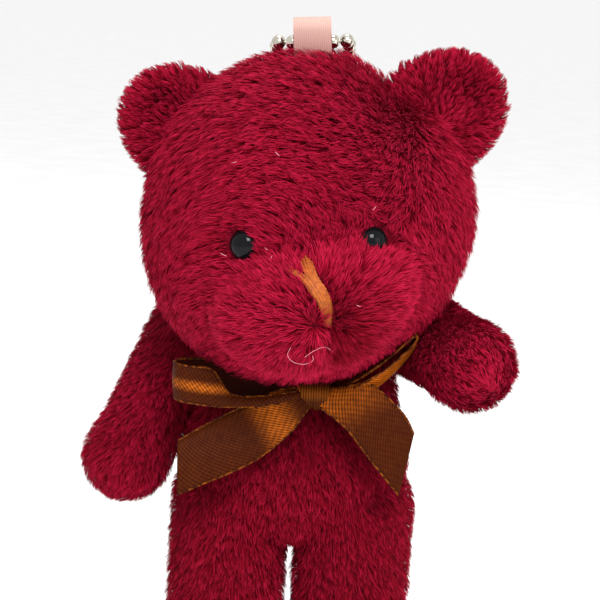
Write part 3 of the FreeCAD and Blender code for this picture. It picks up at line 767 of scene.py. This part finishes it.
# %% Smooth curves
def curve(points, count):
    """Points along a smooth curve through the given ones."""
    points = np.array(points, float)
    padded = np.vstack([2 * points[0] - points[1], points, 2 * points[-1] - points[-2]])
    place = np.linspace(0, len(points) - 1, count)
    number = np.minimum(place.astype(int), len(points) - 2)
    t = (place - number)[:, None]
    a, b, c, d = (padded[number + k] for k in range(4))
    slope, bend, twist = c - a, 2 * a - 5 * b + 4 * c - d, 3 * b - a - 3 * c + d
    return 0.5 * (2 * b + slope * t + bend * t ** 2 + twist * t ** 3)


def distances(line):
    """How far along a line each of its points is."""
    return np.concatenate([[0], np.cumsum(np.linalg.norm(np.diff(line, axis=0), axis=1))])


print("a curve over a 3, 4, 5 corner is", distances(curve([(3, 0), (0, 0), (0, 4)], 50))[-1].round(1))

# %% Tubes
def tube_faces(rows, columns):
    """Quads of a tube of rings, and a cap on each end."""
    row, column = np.meshgrid(np.arange(rows - 1), np.arange(columns), indexing="ij")
    here, after = row * columns, (column + 1) % columns
    corners = [here + column, here + after, here + columns + after, here + columns + column]
    first, last = list(range(columns)), [(rows - 1) * columns + k for k in range(columns)]
    return np.stack(corners, axis=-1).reshape(-1, 4).tolist() + [first[::-1], last]


# %% Twisted thread
PLY_BULGE = 0.22               # share of the radius


def thread(name, lines, radius, pitch, sides=8):
    """One piece of twisted threads, each along its own line of points in millimetres."""
    points, faces = [], []
    angle = 2 * np.pi * np.arange(sides) / sides
    cosine, sine = np.cos(angle)[None, :, None], np.sin(angle)[None, :, None]
    for line in lines:
        ahead = unit(np.gradient(line, axis=0))
        first = unit(np.cross(ahead, array(0.3, 0.5, 0.8)))
        second = np.cross(ahead, first)
        run = distances(line)
        screw = angle[None, :] - 2 * np.pi * run[:, None] / pitch
        taper = np.where((run == 0) | (run == run[-1]), 0.3, 1.0)[:, None]
        reach = (radius * (1 + PLY_BULGE * np.cos(2 * screw)) * taper)[..., None]
        start = len(points) * sides
        points.extend(line[:, None] + reach * (first[:, None] * cosine + second[:, None] * sine))
        faces += [[start + corner for corner in face] for face in tube_faces(len(line), sides)]
    return mesh_object(name, np.concatenate(points), faces)


# %% [markdown]
# ## Ribbon
#
# A bow's ribbon turns and twists, and a plane with a curve modifier would stretch its weave. So a
# ribbon is laid between two edges, each a curve through a few points: a thin solid, a little hollow
# across, with a twisted thread along each edge. Its map runs in millimetres along and across. The
# inner side is set far off on the map, so that the satin's painted highlight stays off it: the inside
# of a bow lies in shade and is nearly black.

# %% Ribbon
INNER_SIDE = 20                # the inner side's place on the map, in widths of the ribbon


def ribbon(name, upper, lower, camber=0.25):
    """A ribbon between two edges, and the thread of its selvedge."""
    rows, columns, thickness = 90, 11, 0.3
    top, bottom = curve(upper, rows), curve(lower, rows)
    centre_line = (top + bottom) / 2
    outward = unit(np.cross(unit(np.gradient(centre_line, axis=0)), top - bottom))
    share = np.linspace(0, 1, columns)
    sheet = bottom[:, None] + (top - bottom)[:, None] * share[None, :, None]
    sheet = sheet + camber * (4 * share * (1 - share))[None, :, None] * outward[:, None]
    half = thickness / 2 * outward[:, None]
    ring = np.concatenate([sheet - half, (sheet + half)[:, ::-1]], axis=1)
    piece = mesh_object(name, ring.reshape(-1, 3), tube_faces(rows, 2 * columns))
    run, wide = distances(centre_line), np.linalg.norm(top - bottom, axis=1)
    along = np.repeat(run, 2 * columns)
    across = wide[:, None] * np.concatenate([INNER_SIDE + share, share[::-1]])[None, :]
    places = np.stack([along, across.ravel()], axis=1)
    corners = np.empty(len(piece.data.loops), np.int32)
    piece.data.loops.foreach_get("vertex_index", corners)
    weave = piece.data.uv_layers.new(name="weave")
    weave.data.foreach_set("uv", places[corners].astype(np.float32).ravel())
    selvedge = thread(name + "_selvedge", [top, bottom], 0.2, 1.1)
    print(name, "flat size", round(float(run[-1]), 1), "by", round(float(wide.max()), 1), "mm")
    return piece, selvedge


# %% [markdown]
# ## Satin
#
# Satin throws its light in soft bands across the threads. The lamps alone put them where the mesh
# happens to turn, so each band is a painted highlight at a place on the ribbon's map, and the
# weave's ribs break it up in colour and in bump.

# %% Satin
def bell(value, middle_of_it, width):
    """1 at the middle, falling to 0 at width on both sides."""
    away = value.math("ABSOLUTE", value - middle_of_it)
    return 1 - away.steps(0.0, width)


RIB_PITCH, CROSSING_PITCH = 0.5, 0.9


# bright is the gold of the painted highlight, dark the brown of the satin
def satin(name, painted_highlight, gloss=0.03, dark=(0.026, 0.003, 0.001), bright=(0.47, 0.110, 0.008)):
    """Brown satin whose threads are painted lighter where glow, a function of the map in millimetres,
    puts a highlight.
    """
    paint = Paint(name, Roughness=0.4, Specular_IOR_Level=gloss)
    along, across = paint.map("weave")
    rib = (along * 0.8 + across * 0.6).wave(RIB_PITCH)
    threads = rib * 0.7 + (along * 0.75 - across).wave(CROSSING_PITCH) * 0.3
    # the painted highlight is kept off the inner side, which lies in shade
    outer = 1 - across.steps(2.0 * INNER_SIDE, 3.0 * INNER_SIDE)
    # the painted highlight: its bands, and a faint painted sheen over the rest of the outer side
    band = painted_highlight(along, across) * 0.9 + 0.07
    share = band * (0.15 + threads * 1.15) * (0.25 + paint.noise(900.0) * 1.4) * outer
    normal = paint.bump(threads, 0.0001, 0.8)
    return paint.set(Base_Color=paint.mix(share, dark, bright), Normal=normal)


# %% [markdown]
# ## The bow
#
# A brown satin ribbon is knotted under the chin, off the middle. The loop on the bear's right
# stands open towards the viewer, and the one on its left is seen along its edge. Both tails have
# slanted cuts. Every edge is given from the knot, in millimetres, because the knot holds them all.

# %% Loops of the bow
knot = np.array(middle("bow_knot"))


def from_knot(*points):
    return [knot + array(*point) for point in points]


right_loop = ribbon(
    "bow_loop_right_satin",
    from_knot((-1.6, 0.4, 1.0), (-7.0, 0.2, 2.4), (-12.5, -0.2, 4.0), (-17.5, -0.6, 4.9),
              (-21.6, -1.4, 4.9), (-23.2, -3.2, 4.6), (-21.4, -5.0, 4.4), (-17.2, -5.4, 4.2),
              (-15.6, -5.0, 2.4), (-13.6, -4.4, 0.0), (-9.0, -4.0, -0.2), (-2.4, -2.8, 0.9)),
    from_knot((-1.6, 0.6, -0.8), (-7.0, 0.6, -0.9), (-12.5, 0.4, -1.2), (-17.5, 0.2, -1.4),
              (-21.4, -0.8, -1.3), (-22.9, -2.8, -1.4), (-21.2, -4.8, -1.6), (-17.0, -5.3, -1.9),
              (-15.2, -5.0, -2.0), (-13.2, -4.7, -2.0), (-9.0, -4.4, -1.7), (-2.4, -3.0, -0.6)))
left_loop = ribbon(
    "bow_loop_left_satin",
    from_knot((2.2, 1.2, 1.0), (6.0, 3.0, 3.6), (10.5, 3.4, 7.0), (14.0, 2.6, 10.4),
              (15.4, 2.0, 11.6), (15.6, 1.7, 8.2), (14.2, 1.8, 5.6), (10.9, 1.8, 1.9),
              (6.3, 0.8, -1.2), (2.2, 0.0, -1.4)),
    from_knot((2.2, -0.6, 0.8), (6.0, -2.0, 2.6), (10.5, -3.4, 6.2), (14.2, -4.4, 10.0),
              (15.8, -4.9, 11.5), (15.9, -4.9, 10.6), (14.6, -4.7, 8.9), (11.0, -4.0, 5.3),
              (6.4, -3.0, 1.9), (2.2, -1.6, 0.2)))

# %% Tails of the bow
right_tail = ribbon(
    "bow_tail_right_satin",
    from_knot((-0.6, -2.4, -1.4), (-1.4, -3.4, -2.6), (-4.4, -4.2, -6.6), (-10.6, -4.8, -11.6),
              (-21.6, -5.4, -17.0)),
    from_knot((-1.2, -1.8, 1.0), (-5.6, -2.6, 0.9), (-11.2, -3.4, -1.9), (-16.6, -3.8, -4.9),
              (-22.0, -4.0, -8.4)),
    camber=0.5)
left_tail = ribbon(
    "bow_tail_left_satin",
    from_knot((1.2, -1.8, 1.0), (4.6, -2.4, 1.8), (9.0, -2.8, 2.6), (14.4, -3.4, -1.6),
              (16.6, -4.0, -5.0)),
    from_knot((0.6, -2.4, -1.2), (1.4, -3.2, -1.8), (5.4, -4.0, -4.6), (9.8, -4.8, -9.6),
              (14.7, -5.6, -15.0)),
    camber=0.5)

# %% Finishes of the bow
# where each piece of the bow has its painted highlight, on its map in millimetres
def loop_end_painted_highlight(along, across):
    return bell(across, 2.9, 1.3) * bell(along, 30.0, 13.0)


def edge_on_painted_highlight(along, across):
    return bell(along, 30.0, 16.0) * 0.85


def left_tail_painted_highlight(along, across):
    return bell(along - across * 0.4, 1.0, 8.0) * 0.7


def right_tail_painted_highlight(along, across):
    return bell(along - across * 0.3, 5.6, 4.4) * 0.85


cord = Paint("satin_selvedge", Roughness=0.4, Specular_IOR_Level=0.05)
cord.set(Base_Color=cord.ramp(cord.noise(1500.0), (0.42, (0.03, 0.005, 0.001)),
                              (0.75, (0.26, 0.065, 0.006))))
print("selvedge nodes", len(cord.nodes))

# %% The bow, put together
bow = (("bow_loop_right", right_loop, satin("satin_loop_right", loop_end_painted_highlight), "neck"),
       ("bow_loop_left", left_loop, satin("satin_loop_left", edge_on_painted_highlight, gloss=0.0), "neck"),
       ("bow_tail_right", right_tail, satin("satin_tail_right", right_tail_painted_highlight), "bow_tail_right"),
       ("bow_tail_left", left_tail, satin("satin_tail_left", left_tail_painted_highlight), "bow_tail_left"))
for node, (band, selvedge), finish, body in bow:
    wear(band, finish)
    wear(selvedge, cord.material)
    for piece in (band, selvedge):
        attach(piece, body)
    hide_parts(node)
    print(node, "faces", len(band.data.polygons))

# %% [markdown]
# ## Neck
#
# Under the chin the torso's cloth is gathered by a thread, and the bow's ribbon is tied round it.
# Both are mostly hidden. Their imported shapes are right, so they only get a finish.

# %% Neck
seam_thread = Paint("seam_thread", Roughness=0.6, Specular_IOR_Level=0.2)
seam_thread.set(Base_Color=seam_thread.ramp(seam_thread.noise(1500.0), (0.3, (0.10, 0.001, 0.006)),
                                            (0.7, (0.20, 0.002, 0.012))))


def collar_painted_highlight(along, across):
    # a painted highlight along the middle of the collar ribbon
    return bell(across, 0.0, 3.0) * 0.4


neck_finishes = {"neck_plug": backing_in_painted_shade, "neck_thread": seam_thread.material,
                 "neck_ribbon": satin("satin_collar", collar_painted_highlight)}
for node, finish in neck_finishes.items():
    wear(frame["nodes"][node], finish)
    print(node, finish.name)

# %% [markdown]
# ## The knot
#
# The knot is one turn of the ribbon, pulled tight: a short barrel whose folds run round it. A real
# wrap would hide most of its own ribbon, so the barrel is one skin with the folds in its outline.

# %% Knot form
RING, KNOT_HALF = 48, 3.5      # points round the barrel, and half its length
turns, steps = np.linspace(0, 2 * np.pi, RING, endpoint=False), np.linspace(-1, 1, 25)
barrel = []
for step in steps:
    folds = 1 + 0.05 * math.sin(step * 14) + 0.03 * math.sin(step * 31 + 1)
    fall = math.sqrt(max(0.05, 1 - abs(step) ** 3.5)) * folds
    x = step * KNOT_HALF
    y, z = 2.2 * fall * np.cos(turns) - 1.3, 2.35 * fall * np.sin(turns) - 0.05 * x
    barrel.append(np.stack([np.full(RING, x), y, z], axis=1) + knot)
bow_knot = mesh_object("bow_knot_satin", np.concatenate(barrel), tube_faces(len(steps), RING))
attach(bow_knot, "neck")
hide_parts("bow_knot")
print("knot", len(barrel), "rings")

# %% Knot finish
wrap = Paint("satin_knot", Roughness=0.4, Specular_IOR_Level=0.03)
wrapped = wrap.part(wrap.place(), 0).wave(0.42 * MM)
# a painted highlight along the top of the knot
painted_knot_highlight = bell(wrap.part(wrap.place(), 2), float(knot[2] + 0.6) * MM, 1.6 * MM)
knot_share = (painted_knot_highlight * 0.35 + 0.08) * (0.3 + wrapped)
wear(bow_knot, wrap.set(
    Base_Color=wrap.mix(knot_share, (0.026, 0.004, 0.001), (0.42, 0.11, 0.010)),
    Normal=wrap.bump(wrapped, 0.0001, 0.8)))
print("knot nodes", len(wrap.nodes))

# %% [markdown]
# ## Nose
#
# Ochre embroidery thread makes the nose: two short prongs of laid stitches that run together into
# a thick strand, which dives into the crease. Each stitch is a thread laid on the face itself, so
# it needs the point of the face at any place.

# %% A point of the face
def on_face(x, z, out=0.0):
    """The point of the face at x, z of the head's frame, as seen from the front."""
    near, far = -40.0, -8.0
    for _ in range(30):
        halfway = (near + far) / 2
        inside = head_field(out_of_head((x, halfway, z)))[0] < 0
        near, far = (near, halfway) if inside else (halfway, far)
    return out_of_head((x, near - out, z))[0]


print("tip of the muzzle", on_face(0, -12).round(1))

# %% Nose
STITCHES, LEFT_PRONG = 9, 4    # the first four stitches make one prong, the rest the other
stitches = []
for number in range(STITCHES):
    spread = (number - 4) / 4
    inner = number >= LEFT_PRONG
    prong, top = (-0.5, -3.0) if inner else (-3.3, -4.3)
    fan = (number - 6 if inner else number - 1.5) * 0.42
    line = ((prong + fan, top - 0.9 * abs(fan)), (-0.1 + 1.3 * spread, -5.9),
            (1.4 + 1.1 * spread, -7.9), (2.4 + 0.8 * spread, -10.2), (2.9 + 0.5 * spread, -14.0))
    bundle = 0.4 * (1 - spread ** 2) + 0.12 * (number % 2)
    depth = (0.4, 1.4, 1.6, 1.4, -0.2)
    laid = [on_face(x, z, out + bundle) for (x, z), out in zip(line, depth)]
    stitches.append(curve(laid, 60))
nose = thread("nose_thread", stitches, 0.25, 1.3)
ochre = Paint("ochre_thread", Roughness=0.55, Specular_IOR_Level=0.3)
wear(nose, ochre.set(Base_Color=ochre.ramp(ochre.noise(1300.0), (0.35, (0.26, 0.052, 0.005)),
                                           (0.7, (0.42, 0.10, 0.008)))))
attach(nose, "head")
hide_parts("nose_stitches")
print("nose", len(stitches), "stitches")

# %% [markdown]
# ## Eyes
#
# The eyes are black plastic beads on shanks, which sit deep in the pile, so only a dome shows. A
# ball flattened towards the face gives the dome, and a nearly smooth dark gloss mirrors the lamps.

# %% Eyes
EYE_RADIUS, EYE_DOME = 2.55, 2.2
glass = Paint("black_bead", Base_Color=(0.003, 0.003, 0.004, 1.0), Roughness=0.05,
              Specular_IOR_Level=0.13)
for side, where in EYES.items():
    outward = unit(np.atleast_2d(where - head_centre))[0]
    across = unit(np.cross(np.atleast_2d(outward), array(0, 0, 1)))[0]
    upward = np.cross(outward, across)
    shape = bmesh.new()
    bmesh.ops.create_uvsphere(shape, u_segments=64, v_segments=32, radius=1.0)
    ball, ball_faces = take(shape)
    seat = where + array(-0.035 * where[0], -1.5, -0.2)
    disc = EYE_RADIUS * (ball[:, :1] * across + ball[:, 1:2] * upward)
    dome = EYE_DOME * ball[:, 2:] * outward
    eye = mesh_object("eye_bead_" + side, seat + disc + dome, ball_faces)
    wear(eye, glass.material)
    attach(eye, "head")
    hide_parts("eye_" + side)
    print("eye", side, len(ball), "points")

# %% [markdown]
# ## Hanging loop and chain
#
# The loop is pale pink satin with fine upright threads. The chain is plated steel: hollow balls on
# short rods, which mirror the bear's crown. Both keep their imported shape, which is exact already.

# %% Pink satin
pink = Paint("pink_satin", Roughness=0.38, Specular_IOR_Level=0.15)
warp = pink.part(pink.place(), 0).wave(0.3 * MM)
loop_low, loop_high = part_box("hang_loop")
# painted light: the loop is lighter towards its top, which faces the lamps
pale = pink.part(pink.place(), 2).steps(float(loop_low.z), float(loop_high.z))
pink_satin = pink.set(
    Base_Color=pink.mix(pale * 0.8 + warp * 0.2, (0.33, 0.15, 0.14), (0.52, 0.33, 0.28)),
    Normal=pink.bump(warp, 0.00008, 0.7))
wear(frame["nodes"]["hang_loop"], pink_satin)
print("loop nodes", len(pink.nodes))

# %% Plated steel
steel = Paint("plated_steel", Metallic=1.0, Roughness=0.16)
plated_steel = steel.set(Base_Color=steel.ramp(steel.noise(700.0), (0.3, (0.50, 0.46, 0.38)),
                                               (0.7, (0.66, 0.62, 0.54))))
chain_nodes = ["chain_clasp"] + [f"chain_{stretch}_{kind}" for stretch in ("top", "mid", "low")
                                 for kind in ("beads", "links")]
for node in chain_nodes:
    wear(frame["nodes"][node], plated_steel)
print("chain", len(chain_nodes), "nodes")

# %% [markdown]
# ## Stray fibres
#
# A few pale fibres from the workshop cling to the pile: one curls under the muzzle, and some short
# ones lie on the face. They are the same twisted tubes as the threads, only much finer.

# %% Stray fibres
rng = np.random.default_rng(77)
curls = (((-3.0, -16.4), (-3.5, -17.8), (-2.7, -19.1), (-1.0, -19.6), (0.3, -19.0), (0.3, -18.0)),
         ((-0.9, -18.2), (0.5, -17.2), (2.2, -17.0), (3.4, -18.0)))
strays = [curve([on_face(x, z, 2.6) for x, z in curl], 50) for curl in curls]
for _ in range(7):
    x, z = rng.uniform(-18, 18), rng.uniform(-16, 20)
    turn, length = rng.uniform(0, math.pi), rng.uniform(0.3, 0.6)
    dx, dz = length * math.cos(turn), length * math.sin(turn)
    ends = on_face(x - dx, z - dz, 1.9), on_face(x + dx, z + dz, 1.9)
    strays.append(curve([ends[0], on_face(x, z, 2.2), ends[1]], 10))
stray = thread("stray_fibres", strays, 0.032, 5.0, sides=5)
wear(stray, Paint("pale_fibre", Base_Color=(0.75, 0.32, 0.38, 1.0), Roughness=0.5).material)
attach(stray, "head")
print("strays", len(strays))

# %% [markdown]
# ## Floor
#
# A pale floor that runs out of view, so the bear stands on something and no edge of it shows. A
# faint cloudiness keeps it from being a single flat white.

# %% Floor
shape = bmesh.new()
bmesh.ops.create_circle(shape, cap_ends=True, segments=96, radius=20.0)
floor_mesh = bpy.data.meshes.new("floor")
shape.to_mesh(floor_mesh)
shape.free()
floor = bpy.data.objects.new("floor", floor_mesh)
bpy.context.scene.collection.objects.link(floor)
paper = Paint("white_paper", Roughness=0.9, Specular_IOR_Level=0.1)
wear(floor, paper.set(Base_Color=paper.ramp(paper.noise(40.0), (0.3, (0.90, 0.90, 0.90)),
                                            (0.7, (0.94, 0.94, 0.94)))))
print("floor points", len(floor_mesh.vertices))

# %% [markdown]
# ## Light
#
# A broad soft lamp from the front, a weaker one from the right and one from above, and a bright
# sky that fills the shadows as in a white tent. Soft light suits pile, which goes harsh and noisy
# under small lamps.

# %% Light
world = bpy.data.worlds.new("white_tent")
bpy.context.scene.world = world
world.use_nodes = True
world.node_tree.nodes["Background"].inputs["Color"].default_value = (1.0, 1.0, 1.0, 1.0)
world.node_tree.nodes["Background"].inputs["Strength"].default_value = 1.0


def soft_light(name, place, power, breadth):
    """A square lamp, in millimetres, that looks at the bear."""
    data = bpy.data.lights.new(name, "AREA")
    data.energy, data.size = power, breadth * MM
    lamp = bpy.data.objects.new(name, data)
    lamp.location = Vector(place) * MM
    lamp.rotation_mode = "QUATERNION"
    lamp.rotation_quaternion = (aim - Vector(place)).to_track_quat("-Z", "Y")
    bpy.context.scene.collection.objects.link(lamp)
    print(name, power, "W")


soft_light("key_light", (90, -430, 480), 3.6, 220)
soft_light("fill_light", (460, -380, 220), 0.5, 320)
soft_light("top_light", (0, 150, 620), 1.2, 300)
bpy.context.scene.view_settings.view_transform = "Standard"
